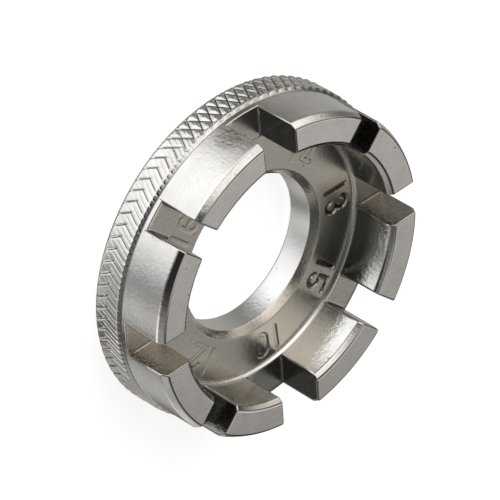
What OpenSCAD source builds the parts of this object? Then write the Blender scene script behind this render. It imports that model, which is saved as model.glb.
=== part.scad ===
// Round multi-size spoke wrench, lying on its flat back with the jaws up.
// It is one casting. Its regions are separate solids that meet face to face.
// The origin is on the bore's axis, in the plane of the back face.

/* [Knurled rim] */
// Diameter over the crests of the knurl
rim_d = 38; // [36:0.5:46]
// Height of the knurled rim above the back face
rim_h = 3.9; // [2.5:0.1:6]
// Thickness of the knurled band outside the plate's plain core
rim_t = 1.8; // [1:0.1:3]
// How far the crests draw in at the front and back edges of the band
rim_crown = 0.2; // [0:0.05:0.4]
// Depth of the knurl's grooves
knurl_depth = 0.25; // [0.1:0.05:0.4]
// Grooves of each hand round the rim
knurl_count = 88; // [48:2:110]
// Angle between a groove and the wrench's axis
knurl_angle = 30; // [20:1:45]
// Height of the chamfers at the front and back edges of the rim
rim_edge = 0.2; // [0.1:0.05:0.5]

/* [Face plate] */
// Depth of the recessed face below the floors of the slots
recess_depth = 0.45; // [0.1:0.05:1]
// Diameter of the central bore
bore_d = 18; // [12:0.5:20]
// Chamfer at the front of the bore
bore_front_chamfer = 0.75; // [0.2:0.05:1]
// Chamfer at the back of the bore
bore_back_chamfer = 0.4; // [0.1:0.05:0.8]

/* [Crown of jaws] */
// Height of the jaws above the floors of the slots
jaw_h = 5.55; // [3:0.05:9]
// Thickness of the jaws, from their inner to their outer faces
jaw_t = 3.85; // [2:0.05:5]
// Height of the crown's foot, from the top of the knurled rim to the floors of the slots
foot_h = 0.55; // [0.2:0.05:2]
// How far the crown's outer faces lie inside the crests of the knurl
shoulder = 0.35; // [0.25:0.05:1]
// Height of the steep chamfer at the outer edge of the jaws' tops
outer_chamfer_h = 0.8; // [0.1:0.05:1.2]
// How far that chamfer leans in towards the bore
outer_chamfer_w = 0.45; // [0.1:0.05:1]
// Chamfer at the inner edge of the jaws' tops
inner_chamfer = 0.5; // [0.1:0.05:1]

/* [Slots] */
// Width of the slot marked 10
slot_10_w = 5; // [2:0.05:7]
// Width of the slot marked 11
slot_11_w = 4.4; // [2:0.05:7]
// Width of the larger slot marked 12
slot_12_wide_w = 4.15; // [2:0.05:7]
// Width of the smaller slot marked 12
slot_12_close_w = 4.05; // [2:0.05:7]
// Width of the slot marked 13
slot_13_w = 3.95; // [2:0.05:7]
// Width of the slot marked 14
slot_14_w = 3.5; // [2:0.05:7]
// Width of the slot marked 15
slot_15_w = 3.4; // [2:0.05:7]
// Width of the slot marked 16
slot_16_w = 3.25; // [2:0.05:7]
// How far the slot marked 10 is turned clockwise from its even place
slot_10_turn = 1.4; // [0:0.1:3]

/* [Gauge numbers] */
// Share of the recessed face's width that a numeral's height takes
digit_share = 0.575; // [0.4:0.005:0.65]
// Width of the stroke that draws a numeral
stroke_w = 0.42; // [0.25:0.02:0.5]
// Gap between a number's two numerals, if both were round
digit_gap = 0.2; // [0.1:0.05:0.4]
// Depth to which the numbers are engraved
engraving_depth = 0.25; // [0.1:0.05:0.6]
// How far the number 10 is turned anticlockwise from its even place
number_10_turn = 2.8; // [-4:0.1:4]
// How far the number 15 is turned anticlockwise from its even place
number_15_turn = 1.9; // [-4:0.1:4]

/* [Hidden] */
// How far a cut runs past the face that it opens
overrun = 1;
// Steel with bright nickel plate
nickel = "#b9b6ae";
$fn = 96;

// Diameters from the rim inwards, and heights from the back face up
core_d = rim_d - 2 * rim_t;
crown_d = rim_d - 2 * shoulder;
crown_bore_d = crown_d - 2 * jaw_t;
floor_h = rim_h + foot_h;
plate_h = floor_h - recess_depth;
total_h = floor_h + jaw_h;

// Slots anticlockwise from +X, seen from the jaws' side, and the second numeral of each one's number
slot_widths = [
    slot_15_w,
    slot_13_w,
    slot_14_w,
    slot_11_w,
    slot_16_w,
    slot_12_close_w,
    slot_12_wide_w,
    slot_10_w
];
slot_numerals = [5, 3, 4, 1, 6, 2, 2, 0];
number_turns = [number_15_turn, 0, 0, 0, 0, 0, 0, number_10_turn];
slot_count = len(slot_widths);
slot_step = 360 / slot_count;
slot_angles = [
    for (slot = [0 : slot_count - 1]) slot * slot_step - (slot == slot_count - 1 ? slot_10_turn : 0)
];

// The recessed face that carries the numbers
recess_inner_r = bore_d / 2 + bore_front_chamfer;
recess_outer_r = crown_bore_d / 2;
number_r = (recess_inner_r + recess_outer_r) / 2;
digit_h = digit_share * (recess_outer_r - recess_inner_r);

// A numeral is built on two circles, one above the other, that share one stroke
bowl_d = (digit_h + stroke_w) / 2;
bowl_low_y = bowl_d / 2;
bowl_high_y = digit_h - bowl_d / 2;
digit_pitch = bowl_d + digit_gap;
// A 1 is narrow, so the pair moves towards it to look centred on its slot
number_shift = -digit_pitch / 4;

// A plain ring that a bowl is cut from
module bowl(y) {
    translate([0, y])
        difference() {
            circle(d = bowl_d);
            circle(d = bowl_d - 2 * stroke_w);
        }
}

// A straight stroke between two points
module bar(from, to) {
    run = to - from;
    translate(from)
        rotate(atan2(run[1], run[0]))
            translate([0, -stroke_w / 2])
                square([norm(run), stroke_w]);
}

// The half of a numeral's field on one side, between two heights
module half_field(side, y0, y1) {
    translate([side < 0 ? -bowl_d : 0, y0])
        square([bowl_d, y1 - y0]);
}

module numeral_0() {
    intersection() {
        bowl(bowl_low_y);
        translate([-bowl_d, bowl_low_y - bowl_d])
            square([2 * bowl_d, bowl_d]);
    }
    intersection() {
        bowl(bowl_high_y);
        translate([-bowl_d, bowl_high_y])
            square([2 * bowl_d, bowl_d]);
    }
    for (side = [-1, 1])
        translate([side * (bowl_d - stroke_w) / 2 - stroke_w / 2, bowl_low_y])
            square([stroke_w, bowl_high_y - bowl_low_y]);
}

module numeral_1() {
    translate([-stroke_w / 2, 0])
        square([stroke_w, digit_h]);
}

module numeral_2() {
    reach = (bowl_d - stroke_w) / 2;
    intersection() {
        bowl(bowl_high_y);
        translate([-bowl_d, bowl_high_y])
            square([2 * bowl_d, bowl_d]);
    }
    bar([reach, bowl_high_y], [-reach, stroke_w / 2]);
    translate([-bowl_d / 2, 0])
        square([bowl_d, stroke_w]);
}

module numeral_3() {
    difference() {
        union() {
            bowl(bowl_low_y);
            bowl(bowl_high_y);
        }
        half_field(-1, bowl_low_y, bowl_high_y);
    }
}

module numeral_4() {
    reach = (bowl_d - stroke_w) / 2;
    stem_x = reach / 2;
    foot_y = bowl_low_y - stroke_w / 2;
    translate([stem_x - stroke_w / 2, 0])
        square([stroke_w, digit_h]);
    translate([-bowl_d / 2, foot_y - stroke_w / 2])
        square([bowl_d, stroke_w]);
    bar([-reach, foot_y], [stem_x, digit_h - stroke_w / 2]);
}

module numeral_5() {
    difference() {
        bowl(bowl_low_y);
        half_field(-1, bowl_low_y, digit_h);
    }
    translate([-bowl_d / 2, bowl_d - stroke_w])
        square([bowl_d / 2, stroke_w]);
    translate([-bowl_d / 2, bowl_d - stroke_w])
        square([stroke_w, digit_h - bowl_d + stroke_w]);
    translate([-bowl_d / 2, digit_h - stroke_w])
        square([bowl_d, stroke_w]);
}

module numeral_6() {
    bowl(bowl_low_y);
    intersection() {
        bowl(bowl_high_y);
        half_field(-1, bowl_high_y, digit_h);
    }
    translate([-bowl_d / 2, bowl_low_y])
        square([stroke_w, bowl_high_y - bowl_low_y]);
}

module numeral(n) {
    if (n == 0) numeral_0();
    if (n == 1) numeral_1();
    if (n == 2) numeral_2();
    if (n == 3) numeral_3();
    if (n == 4) numeral_4();
    if (n == 5) numeral_5();
    if (n == 6) numeral_6();
}

// A slot's gauge number, 10 to 16, with its top outwards, as a cutter
module number_cut(slot) {
    rotate([0, 0, slot * slot_step + number_turns[slot] - 90])
        translate([number_shift, number_r - digit_h / 2, plate_h - engraving_depth])
            linear_extrude(engraving_depth + overrun) {
                translate([-digit_pitch / 2, 0])
                    numeral(1);
                translate([digit_pitch / 2, 0])
                    numeral(slot_numerals[slot]);
            }
}

// Half section of the plate, with the recess inside the crown and the slot floors outside it
module plate_section() {
    bore_r = bore_d / 2;
    polygon([
        [bore_r + bore_back_chamfer, 0],
        [core_d / 2, 0],
        [core_d / 2, rim_h],
        [crown_d / 2, rim_h],
        [crown_d / 2, floor_h],
        [recess_outer_r, floor_h],
        [recess_outer_r, plate_h],
        [recess_inner_r, plate_h],
        [bore_r, plate_h - bore_front_chamfer],
        [bore_r, bore_back_chamfer]
    ]);
}

module face_plate() {
    color(nickel)
        difference() {
            rotate_extrude()
                plate_section();
            for (slot = [0 : slot_count - 1])
                number_cut(slot);
        }
}

// Half section of the crown before its slots are cut
module crown_section() {
    polygon([
        [crown_bore_d / 2, floor_h],
        [crown_d / 2, floor_h],
        [crown_d / 2, total_h - outer_chamfer_h],
        [crown_d / 2 - outer_chamfer_w, total_h],
        [crown_bore_d / 2 + inner_chamfer, total_h],
        [crown_bore_d / 2, total_h - inner_chamfer]
    ]);
}

// Where the walls of two neighbouring slots would meet, measured from the first slot's direction
function jaw_root(first_w, second_w, span) =
    [(first_w / 2 * cos(span) + second_w / 2) / sin(span), first_w / 2];

// One jaw of the crown, between the slot of its number less one and the next slot
module jaw(number) {
    first_w = slot_widths[number - 1];
    second_w = slot_widths[number % slot_count];
    first_angle = slot_angles[number - 1];
    span = (number == slot_count ? 360 : slot_angles[number]) - first_angle;
    root = jaw_root(first_w, second_w, span);
    reach = crown_d;
    color(nickel)
        rotate([0, 0, first_angle])
            intersection() {
                rotate_extrude()
                    crown_section();
                linear_extrude(total_h + overrun)
                    polygon([
                        root,
                        [reach, first_w / 2],
                        [reach, reach],
                        root + reach * [cos(span), sin(span)]
                    ]);
            }
}

// The knurled band is a grid of points. Along a row, and from row to row, crests and groove
// crossings take turns, so each crest is the top of a four-sided diamond.
knurl_columns = 2 * knurl_count;
knurl_step = 360 / knurl_columns;
knurl_row_h = rim_d / 2 * sin(knurl_step) / tan(knurl_angle);
knurl_rows = max(2, round((rim_h - 2 * rim_edge) / knurl_row_h));

// Circumscribed about the core, so that the rim's flat-sided inner wall clears it
rim_inner_r = core_d / 2 / cos(knurl_step / 2);

function row_z(row) = rim_edge + (rim_h - 2 * rim_edge) * row / knurl_rows;
function row_crest_r(row) = rim_d / 2 - (row == 0 || row == knurl_rows ? rim_crown : 0);
function knurl_r(row, column) = row_crest_r(row) - ((row + column) % 2 == 0 ? knurl_depth : 0);

// The crown's foot seats on the front edge, and the back edge lies below the grooves
rim_front_r = crown_d / 2;
rim_back_r = row_crest_r(0) - knurl_depth - rim_edge;

function ring(r, z) = [
    for (column = [0 : knurl_columns - 1])
        [r * cos(column * knurl_step), r * sin(column * knurl_step), z]
];
function knurl_ring(row) = [
    for (column = [0 : knurl_columns - 1])
        let (r = knurl_r(row, column))
            [r * cos(column * knurl_step), r * sin(column * knurl_step), row_z(row)]
];

// The two triangles of a cell between ring a and ring b, split along one diagonal or the other
function cell(a, b, column, rising) =
    let (
        next = (column + 1) % knurl_columns,
        a0 = a * knurl_columns + column,
        a1 = a * knurl_columns + next,
        b0 = b * knurl_columns + column,
        b1 = b * knurl_columns + next
    )
    rising ? [[a0, b1, a1], [a0, b0, b1]] : [[a0, b0, a1], [a1, b0, b1]];

module knurled_rim() {
    rows = [for (row = [0 : knurl_rows]) knurl_ring(row)];
    rings = concat(
        [ring(rim_inner_r, 0), ring(rim_back_r, 0)],
        rows,
        [ring(rim_front_r, rim_h), ring(rim_inner_r, rim_h)]
    );
    ring_count = len(rings);
    color(nickel)
        polyhedron(
            points = [for (r = rings) each r],
            faces = [
                for (level = [0 : ring_count - 1], column = [0 : knurl_columns - 1])
                    each cell(level, (level + 1) % ring_count, column, (level + column) % 2 == 0)
            ]
        );
}

face_plate();
knurled_rim();
for (number = [1 : slot_count])
    jaw(number);
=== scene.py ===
"""Looks of the spoke wrench: a bright nickel-plated casting with a knurled rim, lying on its flat back."""
import math

import bpy
import numpy as np
from mathutils import Matrix


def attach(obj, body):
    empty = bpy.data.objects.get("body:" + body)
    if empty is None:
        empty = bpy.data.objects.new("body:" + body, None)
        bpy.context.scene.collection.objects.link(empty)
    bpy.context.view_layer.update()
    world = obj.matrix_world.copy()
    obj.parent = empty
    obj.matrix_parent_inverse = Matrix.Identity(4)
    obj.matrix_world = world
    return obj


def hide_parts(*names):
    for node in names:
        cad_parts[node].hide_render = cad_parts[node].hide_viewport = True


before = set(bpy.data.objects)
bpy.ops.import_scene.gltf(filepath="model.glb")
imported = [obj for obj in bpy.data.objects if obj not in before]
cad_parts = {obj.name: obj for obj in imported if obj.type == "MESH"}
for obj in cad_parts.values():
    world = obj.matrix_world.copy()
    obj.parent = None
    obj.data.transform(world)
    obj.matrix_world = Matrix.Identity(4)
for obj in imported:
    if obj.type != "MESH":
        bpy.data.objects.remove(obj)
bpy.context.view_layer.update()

MM = 0.001

# Sizes in millimetres, as in the part's source
RIM_R = 19.0
RIM_H = 3.9
CORE_R = 17.2
CROWN_R = 18.65
CROWN_BORE_R = 14.8
FLOOR_H = 4.45
PLATE_H = 4.0
TOTAL_H = 10.0
BORE_R = 9.0
BORE_FRONT = 0.75
BORE_BACK = 0.4
OUTER_CHAMFER_H = 0.8
OUTER_CHAMFER_W = 0.45
INNER_CHAMFER = 0.5
SLOT_WIDTHS = np.array([3.4, 3.95, 3.5, 4.4, 3.25, 4.05, 4.15, 5.0])
SLOT_NUMERALS = [5, 3, 4, 1, 6, 2, 2, 0]
SLOT_STEP = math.pi / 4
# The slot marked 10 stands a little clockwise of its even place, and two numbers anticlockwise of theirs
SLOT_TURN = np.radians([0, 0, 0, 0, 0, 0, 0, 1.4])
NUMBER_TURN = np.radians([1.9, 0, 0, 0, 0, 0, 0, 2.8])
# The casting filled some numbers more than others, and all are larger than those of the part's source
NUMBER_DEPTH = np.array([0.2, 0.2, 0.05, 0.16, 0.02, 0.16, 0.1, 0.15])
NUMBER_SCALE = 1.12
# The walls of these jaws kept the rough skin of the casting, and those of the others are smooth, tinted dark as
# painted shade
ROUGH_WALLED = ("jaw_1", "jaw_6")
GROOVES = 88
GROOVE_SLOPE = math.tan(math.radians(30))


# Meshes from grids of points

def torus_quads(rows, columns):
    """Quads of a grid that closes on itself both ways: point (i, j) joins (i + 1, j) and (i, j + 1), each
    counted round."""
    index = np.arange(rows * columns).reshape(rows, columns)
    down = np.roll(index, -1, axis=0)
    return np.stack([index, np.roll(index, -1, axis=1), np.roll(down, -1, axis=1), down], -1).reshape(-1, 4)


def signed_volume(points, quads):
    """Sum over the two triangles of each quad of a . (b x c) / 6, which is positive when faces point out."""
    a, b, c, d = (points[quads[:, k]] for k in range(4))
    return (np.einsum("ij,ij->i", a, np.cross(b, c)) + np.einsum("ij,ij->i", a, np.cross(c, d))).sum() / 6


def make_piece(name, points, quads, caps, material, node, smooth_deg):
    """Makes one piece from points in millimetres, turns its faces outwards, and stands it for its CAD node."""
    points = np.asarray(points).reshape(-1, 3)
    if signed_volume(points, quads) < 0:
        quads = quads[:, ::-1]
        caps = [cap[::-1] for cap in caps]
    mesh = bpy.data.meshes.new(name)
    mesh.from_pydata((points * MM).tolist(), [], quads.tolist() + [list(cap) for cap in caps])
    mesh.polygons.foreach_set("use_smooth", np.ones(len(mesh.polygons), dtype=bool))
    mesh.set_sharp_from_angle(angle=math.radians(smooth_deg))
    mesh.materials.append(material)
    # A jaw's two flat ends are slot walls: 0.5 marks a smooth wall tinted dark as painted shade, and 1 a rough one
    wall = mesh.attributes.new("slot_wall", "FLOAT", "FACE")
    kept = 1.0 if node in ROUGH_WALLED else 0.5
    wall.data.foreach_set("value", (np.arange(len(mesh.polygons)) >= len(quads)) * kept)
    mesh.validate()
    mesh.update()
    piece = bpy.data.objects.new(name, mesh)
    bpy.context.scene.collection.objects.link(piece)
    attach(piece, "root")
    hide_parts(node)
    return piece


def rounded_section(corners):
    """Closed section from rows of (r, z, radius, arc steps, spacing). A corner is cut back by
    radius * tan(turn / 2) on both sides and joined by an arc of that radius, and the side that follows it
    is divided evenly at about its spacing."""
    corners = np.asarray(corners, float)
    place = corners[:, :2]
    side = np.roll(place, -1, axis=0) - place
    length = np.hypot(side[:, 0], side[:, 1])
    ahead = side / length[:, None]
    behind = np.roll(ahead, 1, axis=0)
    turn = np.arctan2(behind[:, 0] * ahead[:, 1] - behind[:, 1] * ahead[:, 0], (behind * ahead).sum(1))
    cut = corners[:, 2] * np.tan(np.abs(turn) / 2)
    parts = []
    for k, (_, _, radius, steps, spacing) in enumerate(corners):
        if radius > 0:
            hand = np.sign(turn[k])
            start = place[k] - behind[k] * cut[k]
            centre = start + hand * radius * np.array([-behind[k][1], behind[k][0]])
            first = math.atan2(*(start - centre)[::-1])
            swing = first + turn[k] * np.linspace(0, 1, int(steps) + 1)
            parts.append(centre + radius * np.stack([np.cos(swing), np.sin(swing)], -1))
        else:
            parts.append(place[k][None])
        run = length[k] - cut[k] - cut[(k + 1) % len(corners)]
        count = max(1, round(run / spacing))
        steps_along = np.arange(1, count) / count * run
        parts.append(place[k] + ahead[k] * (cut[k] + steps_along[:, None]))
    return np.concatenate(parts)


def revolve(r, z, angle):
    """Points (r cos a, r sin a, z) of a section carried round the bore's axis."""
    return np.stack([r * np.cos(angle), r * np.sin(angle), np.broadcast_to(z, np.broadcast(r, angle).shape)], -1)


def ramp(low, high, x):
    """Smooth step 3t^2 - 2t^3, from 0 at low to 1 at high."""
    t = np.clip((x - low) / (high - low), 0, 1)
    return t * t * (3 - 2 * t)


# Numerals, as centre lines of strokes

STROKE = 0.42
DIGIT_H = 0.575 * (CROWN_BORE_R - BORE_R - BORE_FRONT)
BOWL_D = (DIGIT_H + STROKE) / 2
REACH = (BOWL_D - STROKE) / 2
LOW_Y = BOWL_D / 2
HIGH_Y = DIGIT_H - BOWL_D / 2
PITCH = BOWL_D + 0.2
NUMBER_R = (BORE_R + BORE_FRONT + CROWN_BORE_R) / 2
HALF = STROKE / 2


def bowl(y, first, last):
    """Arc of a bowl's centre line, REACH * (cos a, sin a) about (0, y), from angle first to angle last."""
    swing = np.radians(np.linspace(first, last, 25))
    return np.stack([REACH * np.cos(swing), y + REACH * np.sin(swing)], -1)


def line(*points):
    return np.array(points, float)


NUMERALS = {
    0: [np.concatenate([bowl(HIGH_Y, 0, 180), bowl(LOW_Y, 180, 360), line((REACH, HIGH_Y))])],
    1: [line((0, HALF), (0, DIGIT_H - HALF))],
    2: [np.concatenate([bowl(HIGH_Y, 180, 0), line((-REACH, HALF), (REACH + HALF, HALF))])],
    3: [bowl(HIGH_Y, 165, -90), bowl(LOW_Y, 90, -165)],
    4: [line(
        (REACH / 2, HALF), (REACH / 2, DIGIT_H - HALF), (-REACH, LOW_Y - HALF), (REACH + HALF / 2, LOW_Y - HALF)
    )],
    5: [np.concatenate([
        line((REACH + HALF / 2, DIGIT_H - HALF), (-REACH, DIGIT_H - HALF), (-REACH, BOWL_D - HALF)),
        bowl(LOW_Y, 90, -165)
    ])],
    6: [np.concatenate([bowl(HIGH_Y, 80, 180), bowl(LOW_Y, 180, 540)])],
}


def stroke_distance(x, y, stroke):
    """Distance from each point to a polyline: |p - a - h (b - a)| with h clamped to 0..1, least over the
    segments a to b."""
    point = np.stack([x, y], -1)[:, None]
    start = stroke[:-1][None]
    run = (stroke[1:] - stroke[:-1])[None]
    share = np.clip(((point - start) * run).sum(-1) / np.maximum((run * run).sum(-1), 1e-12), 0, 1)
    gap = point - start - share[..., None] * run
    return np.sqrt((gap * gap).sum(-1)).min(1)


def numeral_depth(r, angle):
    """Depth of the engraving at points of the recessed face. At a number's plain size it is full within
    0.15 mm of a stroke's centre line, and its walls slope out to 0.27 mm with soft cast edges."""
    slot = np.round(angle / SLOT_STEP).astype(int)
    turn = angle - slot * SLOT_STEP - NUMBER_TURN[slot % 8]
    x = -r * np.sin(turn) / NUMBER_SCALE + PITCH / 4
    y = (r * np.cos(turn) - NUMBER_R) / NUMBER_SCALE + DIGIT_H / 2
    depth = np.zeros_like(x)
    for k in range(8):
        near = (slot % 8 == k) & (np.abs(x) < 2.3) & (y > -0.5) & (y < DIGIT_H + 0.5)
        gap = np.full(near.sum(), 9.0)
        for centre, digit in ((-PITCH / 2, 1), (PITCH / 2, SLOT_NUMERALS[k])):
            for stroke in NUMERALS[digit]:
                gap = np.minimum(gap, stroke_distance(x[near] - centre, y[near], stroke))
        depth[near] = NUMBER_DEPTH[k] * (1 - ramp(0.15, 0.27, gap))
    return depth


# Face plate

# Radii of the step's edge and of the slot floors' outer edge, both just inside the crown's own
STEP_R = CROWN_BORE_R - 0.15
FOOT_R = CROWN_R - 0.03

# Rows for rounded_section, from the back round the outside to the front
PLATE_SECTION = [
    (BORE_R + BORE_BACK, 0, 0.08, 2, 0.3),
    (BORE_R + BORE_BACK + 0.3, 0, 0, 0, 4.0),
    (CORE_R - 0.3, 0, 0, 0, 0.3),
    (CORE_R, 0, 0, 0, 1.0),
    (CORE_R + 0.1, 0.08, 0, 0, 4.0),
    (CORE_R + 0.1, RIM_H - 0.04, 0, 0, 2.0),
    (FOOT_R, RIM_H - 0.04, 0, 0, 0.3),
    (FOOT_R, FLOOR_H, 0.14, 5, 0.45),
    (CROWN_BORE_R, FLOOR_H, 0.02, 2, 0.4),
    (STEP_R + 0.04, FLOOR_H, 0.05, 3, 0.4),
    (STEP_R - 0.15, FLOOR_H - 0.23, 0.04, 2, 0.09),
    (STEP_R - 0.17, PLATE_H, 0.08, 4, 0.078),
    (BORE_R + BORE_FRONT, PLATE_H, 0.14, 4, 0.4),
    (BORE_R, PLATE_H - BORE_FRONT, 0.16, 4, 1.2),
    (BORE_R, BORE_BACK, 0.08, 2, 0.4),
]


def plate_points():
    """Section carried round the axis. The recessed face sinks by numeral_depth, the ledge above the step
    leans inwards by about 10 degrees except towards -X, and the slots' floors rise beside each wall by
    f - sqrt(f^2 - (f - d)^2), the fillet of radius f at distance d from the wall."""
    section = rounded_section(PLATE_SECTION)
    # Columns are close together across a slot and its number, and wider apart between two slots
    reach = 13.5
    slot_columns = np.linspace(-reach, reach, 91)[:-1]
    jaw_columns = np.linspace(reach, 45 - reach, 16)[:-1]
    within = np.radians(np.concatenate([slot_columns, jaw_columns]))
    angle = (np.arange(8)[:, None] * SLOT_STEP + within).ravel()[None]
    r = section[:, :1] + 0 * angle
    z = section[:, 1:] + 0 * angle
    angle = angle + 0 * r
    face = (np.abs(z - PLATE_H) < 1e-6) & (r > BORE_R + BORE_FRONT + 0.3) & (r < STEP_R - 0.3)
    z[face] -= numeral_depth(r[face], angle[face])
    leaning = ramp(-0.88, -0.76, np.cos(angle))
    ledge = (z > FLOOR_H - 0.3) & (r > STEP_R - 0.2) & (r < CROWN_BORE_R)
    z[ledge] -= (0.18 * (CROWN_BORE_R - r) * leaning)[ledge]
    floor = (np.abs(z - FLOOR_H) < 1e-6) & (r > CROWN_BORE_R)
    fillet = 0.22
    slot = np.round(angle / SLOT_STEP).astype(int)
    turn = angle - slot * SLOT_STEP + SLOT_TURN[slot % 8]
    gap = SLOT_WIDTHS[slot % 8] / 2 - np.abs(r * np.sin(turn))
    short = np.clip(fillet - gap, 0, fillet)
    rise = fillet - np.sqrt(fillet ** 2 - short ** 2)
    rise *= ramp(14.85, 15.1, r) * ramp(18.5, 18.25, r)
    z[floor] += rise[floor]
    return revolve(r, z, angle)


# Knurled rim

KNURL_DEPTH = 0.15
# Depth of the knurl where the band meets its front chamfer
FRONT_DEPTH = 0.08
# How far the grooves of each hand are shifted round the rim, in pitches
FIRST_SHIFT = -0.43
SECOND_SHIFT = 0.07
BACK_ROUND = 0.58
FRONT_ROUND = 0.12
# The front chamfer leans at 45 degrees and ends just inside the crown's foot
FRONT_CUT = RIM_R - FOOT_R
FRONT_START = RIM_H - FRONT_CUT - (math.sqrt(2) - 1) * FRONT_ROUND


def knurl_height(turns, along):
    """Height of the knurl, 0 on the crests, and -1.3 in the grooves or -0.75 where they are shallow. Each
    family of grooves is the set of lines where turns +- along * slope / pitch is whole, but for a shift.
    Between two lines the surface is a pillow 1 - (1 - t)^n, where t runs from 0 in a groove to 1 half way to
    the next. The lower of the two families holds. The roll bit less deep from 155 to 255 degrees: there the
    tops are flatter, and the two hands hardly cross, so that they meet as chevrons. The second hand was
    rolled twice, so a fainter groove lies between its grooves."""
    pitch = 2 * math.pi * RIM_R / GROOVES
    lean = along * GROOVE_SLOPE / pitch
    degrees = (turns * 360 / GROOVES) % 360
    shallow = ramp(148, 164, degrees) * (1 - ramp(250, 266, degrees))
    first = np.abs((turns + lean + FIRST_SHIFT + 0.5) % 1 - 0.5) * 2
    second = np.abs((turns - lean + SECOND_SHIFT + 0.5) % 1 - 0.5) * 2
    power = 1.8 + 5.2 * shallow
    pillow_1 = 1 - (1 - first) ** power
    pillow_2 = 1 - (1 - second) ** power
    between = 1 - (0.25 + 0.35 * shallow) * (1 - np.clip((1 - second) / 0.2, 0, 1)) ** 1.5
    lift_1 = ramp(3.0 - 1.2 * shallow, 3.6 - 1.4 * shallow, along)
    lift_2 = 0.75 * shallow * (1 - ramp(1.3, 1.9, along))
    pillow_1 = pillow_1 + (1 - pillow_1) * lift_1
    pillow_2 = pillow_2 + (1 - pillow_2) * lift_2
    between = between + (1 - between) * lift_2
    return (np.minimum(np.minimum(pillow_1, pillow_2), between) - 1) * (1.3 - 0.55 * shallow)


def rim_points():
    """Section carried round the axis and moved along its own normal by the knurl's height. Rows on the band
    are spaced so that groove lines run through the corners of the grid."""
    per_pitch = 22
    pitch = 2 * math.pi * RIM_R / GROOVES
    row_gap = pitch / per_pitch / GROOVE_SLOPE
    back = np.radians(np.linspace(-90, 0, 9))
    front = np.radians(np.linspace(0, 45, 5))
    chamfer = np.linspace(0, 1, 6)[1:]
    straight = np.arange(1, round((FRONT_START - BACK_ROUND) / row_gap)) * row_gap + BACK_ROUND
    tip_r = RIM_R - FRONT_ROUND * (1 - math.cos(math.pi / 4))
    tip_z = FRONT_START + FRONT_ROUND * math.sin(math.pi / 4)
    r = np.concatenate([
        [RIM_R - BACK_ROUND - 0.5],
        RIM_R - BACK_ROUND + BACK_ROUND * np.cos(back),
        np.full(len(straight), RIM_R),
        RIM_R - FRONT_ROUND + FRONT_ROUND * np.cos(front),
        tip_r + (FOOT_R - tip_r) * chamfer,
        [CORE_R - 0.1, CORE_R - 0.1, CORE_R]
    ])
    z = np.concatenate([
        [0],
        BACK_ROUND + BACK_ROUND * np.sin(back),
        straight,
        FRONT_START + FRONT_ROUND * np.sin(front),
        tip_z + (RIM_H - tip_z) * chamfer,
        [RIM_H, 0.08, 0]
    ])
    tilt = np.concatenate([back, np.zeros(len(straight)), front, np.full(5, math.pi / 4)])
    normal_r = np.concatenate([[0], np.cos(tilt), np.zeros(3)])
    normal_z = np.concatenate([[0], np.sin(tilt), np.zeros(3)])
    along = np.concatenate([
        [0],
        BACK_ROUND * (1 + back),
        straight,
        FRONT_START + FRONT_ROUND * front,
        FRONT_START + FRONT_ROUND * front[-1] + FRONT_CUT * chamfer,
        np.zeros(3)
    ])
    depth = np.concatenate([
        [0],
        KNURL_DEPTH * ramp(-1.35, -0.3, back),
        np.full(len(straight), KNURL_DEPTH),
        KNURL_DEPTH - (KNURL_DEPTH - FRONT_DEPTH) * front / front[-1],
        FRONT_DEPTH * (1 - ramp(0, 0.8, chamfer)),
        np.zeros(3)
    ])
    turns = np.arange(GROOVES * per_pitch)[None] / per_pitch
    angle = turns * 2 * math.pi / GROOVES
    height = knurl_height(turns, along[:, None]) * depth[:, None]
    return revolve(r[:, None] + normal_r[:, None] * height, z[:, None] + normal_z[:, None] * height, angle)


# Jaws

# Radius in millimetres of the upright corners at the outer face, which two jaws have rounder
JAW_CORNERS = [0.2, 0.2, 0.2, 0.2, 0.2, 0.2, 0.32, 0.42]


def jaw_points(number, columns):
    """Crown section carried between two slot walls. At radius r the first wall is at the angle
    asin(w1 / 2r) past its slot and the second asin(w2 / 2r) short of the next, so both walls are flat and
    parallel to their slots."""
    # A jaw starts inside the plate, so that no gap shows at its foot
    base = FLOOR_H - 0.4
    section = np.array([
        (CROWN_BORE_R, base),
        (CROWN_R, base),
        (CROWN_R, TOTAL_H - OUTER_CHAMFER_H),
        (CROWN_R - OUTER_CHAMFER_W, TOTAL_H),
        (CROWN_BORE_R + INNER_CHAMFER, TOTAL_H),
        (CROWN_BORE_R, TOTAL_H - INNER_CHAMFER)
    ])
    r = section[:, :1]
    following = number % 8
    first = (number - 1) * SLOT_STEP - SLOT_TURN[number - 1] + np.arcsin(SLOT_WIDTHS[number - 1] / 2 / r)
    last = number * SLOT_STEP - SLOT_TURN[following] - np.arcsin(SLOT_WIDTHS[following] / 2 / r)
    share = np.concatenate([[0], np.linspace(0.06, 0.94, columns - 2), [1]])
    angle = first + (last - first) * share[None]
    return revolve(r + 0 * angle, section[:, 1:] + 0 * angle, angle)


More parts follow.
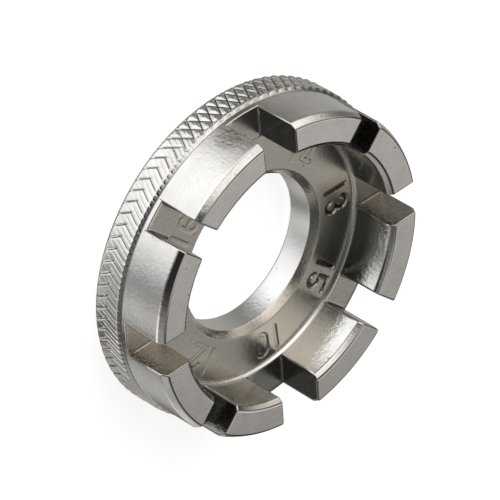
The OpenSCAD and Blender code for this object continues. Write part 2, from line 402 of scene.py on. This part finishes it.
def round_edges(jaw, columns, corner):
    """Rounds a jaw's edges by 0.2 mm, and the upright edges at its outer face by the corner's radius. Points
    are numbered along the jaw first, so that point i lies in row i // columns of the section."""
    mesh = jaw.data
    plain = 0.2
    ends = np.empty(2 * len(mesh.edges), int)
    mesh.edges.foreach_get("vertices", ends)
    ends = np.sort(ends.reshape(-1, 2), axis=1)
    row, column = ends // columns, ends % columns
    at_end = (column[:, 0] == column[:, 1]) & ((column[:, 0] == 0) | (column[:, 0] == columns - 1))
    lengthwise = (row[:, 0] == row[:, 1]) & (row[:, 0] >= 2)
    outer = at_end & (row[:, 0] >= 1) & (row[:, 1] <= 3) & (row[:, 0] <= 2)
    weight = np.where(at_end | lengthwise, plain / corner, 0.0)
    weight[outer] = 1.0
    layer = mesh.attributes.new("bevel_weight_edge", "FLOAT", "EDGE")
    layer.data.foreach_set("value", weight)
    edge = jaw.modifiers.new("rounded_edges", "BEVEL")
    edge.width = corner * MM
    edge.segments = 4
    edge.limit_method = "WEIGHT"
    edge.harden_normals = True


def jaw_faces(sides, columns):
    """Quads round the section between neighbouring columns, and the two flat ends."""
    index = np.arange(sides * columns).reshape(sides, columns)
    above = np.roll(index, -1, axis=0)
    quads = np.stack([index[:, :-1], index[:, 1:], above[:, 1:], above[:, :-1]], -1).reshape(-1, 4)
    return quads, [index[:, 0].tolist(), index[::-1, -1].tolist()]


# Materials

def linear(code):
    """sRGB hex to linear: c / 12.92 below 0.04045, and ((c + 0.055) / 1.055)^2.4 above."""
    values = [int(code[k:k + 2], 16) / 255 for k in (1, 3, 5)]
    return tuple(c / 12.92 if c <= 0.04045 else ((c + 0.055) / 1.055) ** 2.4 for c in values)


def add(tree, kind, settings=(), **inputs):
    """Adds one node. settings are pairs of its own properties, and inputs are values or sockets to link. An
    input goes by its name with _ for each space, or by n and its number."""
    node = tree.nodes.new(kind)
    for key, value in settings:
        setattr(node, key, value)
    for key, value in inputs.items():
        numbered = key[0] == "n" and key[1:].isdigit()
        socket = node.inputs[int(key[1:]) if numbered else key.replace("_", " ")]
        if isinstance(value, bpy.types.NodeSocket):
            tree.links.new(value, socket)
        else:
            socket.default_value = value
    return node


def new_tree(material):
    material.use_nodes = True
    material.node_tree.nodes.clear()
    return material.node_tree


def calc(tree, operation, first, second=0.0, third=0.0):
    """One step of arithmetic on values or sockets."""
    return add(tree, "ShaderNodeMath", [("operation", operation)], n0=first, n1=second, n2=third).outputs[0]


def slope(tree, value, low, high, first=0.0, last=1.0):
    """Runs evenly from first to last while a value in metres goes from low to high millimetres."""
    return add(
        tree, "ShaderNodeMapRange", Value=value, From_Min=low * MM, From_Max=high * MM, To_Min=first, To_Max=last
    ).outputs[0]


def between(tree, value, low, high, soft):
    """1 where a value in metres lies between two sizes in millimetres, with soft ends."""
    ends = [
        add(
            tree, "ShaderNodeMapRange", [("interpolation_type", "SMOOTHSTEP")], Value=value,
            From_Min=(edge - soft) * MM, From_Max=(edge + soft) * MM, To_Min=first, To_Max=1.0 - first
        ).outputs[0] for edge, first in ((low, 0.0), (high, 1.0))
    ]
    return calc(tree, "MULTIPLY", *ends)


def noise(tree, place, size, detail, roughness):
    """Noise with about one bump in each size, in millimetres."""
    return add(
        tree, "ShaderNodeTexNoise", Vector=place, Scale=1 / (size * MM), Detail=detail, Roughness=roughness
    ).outputs["Fac"]


def along(tree, place, x, y):
    """How far a point lies from the wrench's axis in the direction (x, y)."""
    return add(
        tree, "ShaderNodeVectorMath", [("operation", "DOT_PRODUCT")], n0=place, n1=(x, y, 0)
    ).outputs["Value"]


# Zones of the surface: radii and heights in millimetres, and how softly they end
ZONES = {
    "jaw_tops": ((14.0, 19.0), (9.8, 10.3), 0.08),
    "recess": ((9.75, 18.4), (3.4, 4.53), 0.07),
    "step": ((14.5, 14.79), (4.17, 4.6), 0.02),
    "bore_chamfer": ((9.08, 9.85), (3.2, 4.1), 0.05),
    "deep_numerals": ((9.95, 14.4), (3.6, 3.835), 0.03),
    "bore_wall": ((8.5, 9.12), (-0.5, 3.3), 0.06),
    "inner_walls": ((14.0, 15.0), (4.6, 9.4), 0.1),
    "slot_floors": ((14.9, 18.5), (4.3, 4.56), 0.06)
}
# Patches that kept the rough skin of the casting: angle in degrees, radius, height and reach in millimetres
PATCHES = [(146, 18.65, 6.2, 1.9), (-41, 9.0, 2.0, 1.7)]


def polar(tree, place):
    """Distance from the wrench's axis, and height above its back."""
    axes = add(tree, "ShaderNodeSeparateXYZ", Vector=place).outputs
    level = add(tree, "ShaderNodeCombineXYZ", X=axes["X"], Y=axes["Y"]).outputs[0]
    return add(tree, "ShaderNodeVectorMath", [("operation", "LENGTH")], n0=level).outputs["Value"], axes["Z"]


def zone(tree, radius, height, name):
    """1 inside a zone, a ring round the wrench's axis."""
    radii, heights, soft = ZONES[name]
    return calc(
        tree, "MULTIPLY", between(tree, radius, *radii, soft), between(tree, height, *heights, soft)
    )


def groove_shade_mask(tree, place, radius, height):
    """1 in the bottoms of the knurl's grooves, which are tinted dark as painted shade. They are the points of the
    band nearer to the axis than 18.85 mm, or than 18.94 mm on the side towards 205 degrees, where the knurl is
    shallow."""
    shift = slope(tree, along(tree, place, -0.906, -0.423), 10.5, 14, 0.0, 0.095 * MM)
    deep = slope(tree, calc(tree, "SUBTRACT", radius, shift), 18.83, 18.86, 1.0, 0.0)
    return calc(tree, "MULTIPLY", deep, between(tree, height, 0.75, 3.15, 0.1))


def patch_mask(tree, place):
    """1 near the middle of each patch, falling to 0 at its reach."""
    most = 0.0
    for angle, radius, height, reach in PATCHES:
        turn = math.radians(angle)
        middle = (radius * math.cos(turn) * MM, radius * math.sin(turn) * MM, height * MM)
        away = add(tree, "ShaderNodeVectorMath", [("operation", "DISTANCE")], n0=place, n1=middle).outputs["Value"]
        most = calc(tree, "MAXIMUM", most, slope(tree, away, 0.45 * reach, reach, 1.0, 0.0))
    return most


def painted_shade_mask(tree, place, radius, height):
    """1 where painted shade dims the plate: low on the inner faces of the jaws towards 45 degrees, and on the
    floors of the slots at 45 degrees on both sides of +X."""
    low = calc(
        tree, "MULTIPLY", zone(tree, radius, height, "inner_walls"), between(tree, height, 2.5, 6.9, 0.9)
    )
    walls = calc(tree, "MULTIPLY", low, slope(tree, along(tree, place, 0.707, 0.707), 9.5, 11.5))
    ahead = slope(tree, along(tree, place, 1, 0), 8.5, 9.5)
    beside = slope(tree, calc(tree, "ABSOLUTE", along(tree, place, 0, 1)), 8.5, 9.5)
    corners = calc(tree, "MULTIPLY", ahead, beside)
    floors = calc(tree, "MULTIPLY", zone(tree, radius, height, "slot_floors"), corners)
    return calc(tree, "MAXIMUM", walls, floors)


def nickel(name, light, deep, roughness, peel_mm, peel_slope, grain_mm, grain_slope, grooves):
    """Bright nickel plate. Its relief is orange peel, a finer grain, scattered casting pits and, in places,
    the casting's crust, each of a size and a height in millimetres. A peel or grain height is its size
    times its slope. The recess is dull and its relief flatter, and the jaws' tops are smooth. The walls of
    the slots, which a face attribute marks, are tinted dark as painted shade, and the rough ones among them
    crusted and browner."""
    material = bpy.data.materials.new(name)
    tree = new_tree(material)
    place = add(tree, "ShaderNodeTexCoord").outputs["Object"]
    radius, height = polar(tree, place)
    recess, tops, inner, bore = (
        zone(tree, radius, height, part) for part in ("recess", "jaw_tops", "inner_walls", "bore_wall")
    )
    mark = add(tree, "ShaderNodeAttribute", [("attribute_name", "slot_wall")]).outputs["Fac"]
    wall = add(tree, "ShaderNodeMapRange", Value=mark, From_Max=0.5).outputs[0]
    skin = add(tree, "ShaderNodeMapRange", Value=mark, From_Min=0.5, From_Max=1.0).outputs[0]
    patch = patch_mask(tree, place)

    drift = noise(tree, place, 2.2, 3.0, 0.6)
    tone = add(tree, "ShaderNodeValToRGB", Fac=drift)
    for end, position, code in zip(tone.color_ramp.elements, (0.35, 0.65), (deep, light)):
        end.position = position
        end.color = (*linear(code), 1)
    colour = tone.outputs["Color"]
    # Each tint covers those before it: a warm dull recess, a painted highlight on the step, painted shade on the
    # slot walls, brown crust, painted shade low on the far jaws' inner faces and on two slot floors, darker
    # bottoms in the deeper numbers, a lighter bore wall, and painted shade in the knurl's grooves
    tints = [
        (recess, "#bfbbb3"),
        # Painted highlight: the step's band is tinted near white
        (zone(tree, radius, height, "step"), "#f2f0ec"),
        # Painted shade: the slot walls are tinted dark
        (wall, "#8b8b88"),
        (skin, "#bab4aa"),
        (patch, "#b3ada5"),
        # Painted shade low on the far jaws' inner faces and on two slot floors
        (painted_shade_mask(tree, place, radius, height), "#8f8c86"),
        (zone(tree, radius, height, "bore_chamfer"), "#c0bab1"),
        # Darker in the bottoms of the deeper numbers
        (zone(tree, radius, height, "deep_numerals"), "#5a5650"),
        # A lighter tint on the bore wall
        (bore, "#e2e0dd")
    ]
    # Painted shade in the bottoms of the knurl's grooves
    if grooves:
        tints.append((groove_shade_mask(tree, place, radius, height), "#5c5852"))
    for share, code in tints:
        mixed = add(tree, "ShaderNodeMix", [("data_type", "RGBA")], n0=share, n6=colour, n7=(*linear(code), 1))
        colour = mixed.outputs[2]

    rough = add(
        tree, "ShaderNodeMapRange", Value=drift, From_Min=0.3, From_Max=0.7,
        To_Min=roughness * 0.8, To_Max=roughness * 1.25
    ).outputs[0]
    for share, more in ((recess, 0.19), (inner, 0.05), (bore, 0.24), (wall, 0.03)):
        rough = calc(tree, "MULTIPLY_ADD", share, more, rough)

    cast = calc(tree, "MULTIPLY_ADD", recess, -0.55, calc(tree, "MULTIPLY_ADD", tops, -0.85, 1.0))
    pits = add(tree, "ShaderNodeTexVoronoi", Vector=place, Scale=1 / (1.6 * MM), Randomness=1.0)
    pit = add(tree, "ShaderNodeMapRange", Value=pits.outputs["Distance"], From_Min=0.02, From_Max=0.07)
    reliefs = [
        (noise(tree, place, peel_mm, 2.0, 0.5), cast, peel_mm * peel_slope),
        (noise(tree, place, grain_mm, 2.0, 0.6), cast, grain_mm * grain_slope),
        (pit.outputs[0], 1.0, 0.03),
        (noise(tree, place, 0.45, 4.0, 0.65), calc(tree, "MAXIMUM", skin, patch), 0.04)
    ]
    bump = None
    for level, share, depth in reliefs:
        under = {"Normal": bump.outputs["Normal"]} if bump else {}
        bump = add(tree, "ShaderNodeBump", Height=level, Strength=share, Distance=depth * MM, **under)

    metal = add(
        tree, "ShaderNodeBsdfPrincipled", Base_Color=colour, Metallic=1.0, Roughness=rough,
        Normal=bump.outputs["Normal"]
    )
    add(tree, "ShaderNodeOutputMaterial", Surface=metal.outputs["BSDF"])
    return material


# Nickel plate over a cast face: a bright, faintly warm mirror, broken up by orange peel and a few pits
CAST_NICKEL = nickel(
    "cast_nickel", light="#d6d4d0", deep="#cecbc6", roughness=0.08, peel_mm=0.45, peel_slope=0.05,
    grain_mm=0.16, grain_slope=0.06, grooves=False
)
# Nickel plate over rolled knurling: the same metal, with a finer and duller skin on its small faces
KNURLED_NICKEL = nickel(
    "knurled_nickel", light="#d6d4d0", deep="#cac7c1", roughness=0.11, peel_mm=0.3, peel_slope=0.05,
    grain_mm=0.1, grain_slope=0.04, grooves=True
)


# Pieces

plate = plate_points()
make_piece(
    "plate_shell", plate, torus_quads(*plate.shape[:2]), [], CAST_NICKEL, "face_plate", 50
)
rim = rim_points()
make_piece(
    "knurled_band", rim, torus_quads(*rim.shape[:2]), [], KNURLED_NICKEL, "knurled_rim", 75
)
for number in range(1, 9):
    points = jaw_points(number, 49)
    quads, caps = jaw_faces(*points.shape[:2])
    jaw = make_piece(
        f"crown_jaw_{number}", points, quads, caps, CAST_NICKEL, f"jaw_{number}", 30
    )
    round_edges(jaw, points.shape[1], JAW_CORNERS[number - 1])


# Floor

def make_floor():
    """A pale floor 6 m across, 0.02 mm under the wrench so that the two faces don't share a plane. Its own
    light reaches the camera alone, so that it looks white and still shows the wrench's shadow. It is clear
    from below, where the wrench's back shows."""
    corner = 3.0
    level = -0.02 * MM
    glow = 0.72
    mesh = bpy.data.meshes.new("floor")
    corners = [(x * corner, y * corner, level) for x, y in ((-1, -1), (1, -1), (1, 1), (-1, 1))]
    mesh.from_pydata(corners, [], [(0, 1, 2, 3)])
    material = bpy.data.materials.new("white_table")
    tree = new_tree(material)
    seen = add(tree, "ShaderNodeLightPath").outputs["Is Camera Ray"]
    matt = add(tree, "ShaderNodeBsdfDiffuse", Color=(*linear("#f2f2f0"), 1))
    own = add(tree, "ShaderNodeEmission", Color=(1, 1, 1, 1), Strength=calc(tree, "MULTIPLY", seen, glow))
    both = add(tree, "ShaderNodeAddShader", n0=matt.outputs[0], n1=own.outputs[0])
    below = add(tree, "ShaderNodeNewGeometry").outputs["Backfacing"]
    clear = add(tree, "ShaderNodeBsdfTransparent")
    shown = add(tree, "ShaderNodeMixShader", n0=below, n1=both.outputs[0], n2=clear.outputs[0])
    add(tree, "ShaderNodeOutputMaterial", Surface=shown.outputs[0])
    mesh.materials.append(material)
    floor = bpy.data.objects.new("floor", mesh)
    bpy.context.scene.collection.objects.link(floor)
    floor.visible_glossy = False


make_floor()


# Studio

# Soft lights round the table: azimuth, elevation and half width in degrees, edge power, and colour. Near is
# towards -X, where the camera stands, and left is towards +Y. Those below the table light the side faces.
LIGHTS = [
    ("near_low_softbox", 171.2, -38.3, 37.6, 2.0, (1.358, 1.372, 1.395)),
    ("left_strip", 93.0, 2.0, 19.0, 1.5, (0.92, 0.91, 0.89)),
    ("overhead_card", -140.0, 78.0, 21.0, 1.5, (0.54, 0.53, 0.52)),
    ("far_high_card", -0.7, 53.6, 16.0, 2.0, (0.661, 0.650, 0.619)),
    ("near_left_wall", 140.5, -6.4, 29.1, 2.0, (0.656, 0.653, 0.656)),
    ("near_left_key", 132.0, 39.0, 23.0, 2.0, (1.04, 1.02, 0.99)),
    ("near_chamfer_strip", 157.0, 21.0, 10.0, 5.0, (0.50, 0.49, 0.48)),
    ("far_left_low_fill", 33.5, -41.4, 36.0, 2.0, (0.458, 0.451, 0.433)),
    ("far_card", 14.3, 36.2, 16.0, 2.0, (0.470, 0.463, 0.460)),
    ("right_low_strip", -112.4, -19.7, 16.0, 2.0, (0.957, 0.943, 0.919)),
    ("far_right_low_card", -52.2, -28.9, 19.7, 2.0, (0.514, 0.511, 0.504)),
    ("far_right_card", -60.9, 1.4, 27.8, 2.0, (0.478, 0.471, 0.457)),
    ("right_card", -107.0, -3.1, 24.4, 2.0, (0.394, 0.383, 0.369)),
    ("right_deep_strip", -105.0, -55.3, 16.0, 2.0, (0.788, 0.795, 0.788)),
    ("far_left_high_card", 63.0, 30.1, 16.0, 2.0, (0.418, 0.390, 0.358)),
    ("near_right_high_card", -114.9, 51.0, 24.9, 1.0, (0.173, 0.176, 0.166)),
    ("left_wide_card", 101.4, 17.3, 38.2, 2.0, (0.571, 0.553, 0.518)),
]


def make_world():
    """Soft lights in a dark room. A light adds colour * exp(-ln 2 ((1 - direction . axis) / (1 - cos(half
    width)))^power), so it falls to half at its half width, and a higher power gives it a flatter top and a
    crisper edge. The camera itself sees white."""
    world = bpy.data.worlds.new("studio")
    bpy.context.scene.world = world
    world.use_nodes = True
    tree = world.node_tree
    tree.nodes.clear()
    direction = add(tree, "ShaderNodeTexCoord").outputs["Generated"]
    room = (0.0, 0.0, 0.0)
    for name, azimuth, elevation, half_width, power, colour in LIGHTS:
        turn, rise = math.radians(azimuth), math.radians(elevation)
        axis = (math.cos(rise) * math.cos(turn), math.cos(rise) * math.sin(turn), math.sin(rise))
        scale = 1 / (1 - math.cos(math.radians(half_width)))
        facing = add(
            tree, "ShaderNodeVectorMath", [("operation", "DOT_PRODUCT"), ("label", name)], n0=direction, n1=axis
        ).outputs["Value"]
        away = calc(tree, "MAXIMUM", calc(tree, "MULTIPLY_ADD", facing, -scale, scale), 0.0)
        share = calc(tree, "EXPONENT", calc(tree, "MULTIPLY", calc(tree, "POWER", away, power), -math.log(2)))
        light = add(tree, "ShaderNodeVectorMath", [("operation", "SCALE")], n0=colour, Scale=share).outputs[0]
        room = add(tree, "ShaderNodeVectorMath", [("operation", "ADD")], n0=room, n1=light).outputs[0]
    seen = add(tree, "ShaderNodeLightPath").outputs["Is Camera Ray"]
    lit = add(tree, "ShaderNodeBackground", Color=room)
    white = add(tree, "ShaderNodeBackground", Color=(1, 1, 1, 1))
    mixed = add(tree, "ShaderNodeMixShader", n0=seen, n1=lit.outputs[0], n2=white.outputs[0])
    add(tree, "ShaderNodeOutputWorld", Surface=mixed.outputs[0])


make_world()


# Camera

def make_camera():
    """The photograph's camera, from its place and its right, down and forward directions."""
    data = bpy.data.cameras.new("photo_camera")
    data.sensor_width = 36
    data.lens = 457.8
    data.clip_start = 0.05
    data.clip_end = 20
    camera = bpy.data.objects.new("photo_camera", data)
    bpy.context.scene.collection.objects.link(camera)
    right = (0.5610, 0.4551, 0.6915)
    down = (0.2250, -0.8877, 0.4016)
    forward = (0.7966, -0.0697, -0.6004)
    place = (-531.66, 46.81, 404.10)
    camera.matrix_world = Matrix([
        (right[k], -down[k], -forward[k], place[k] * MM) for k in range(3)
    ] + [(0, 0, 0, 1)])
    bpy.context.scene.camera = camera


make_camera()
bpy.context.scene.view_settings.view_transform = "Standard"
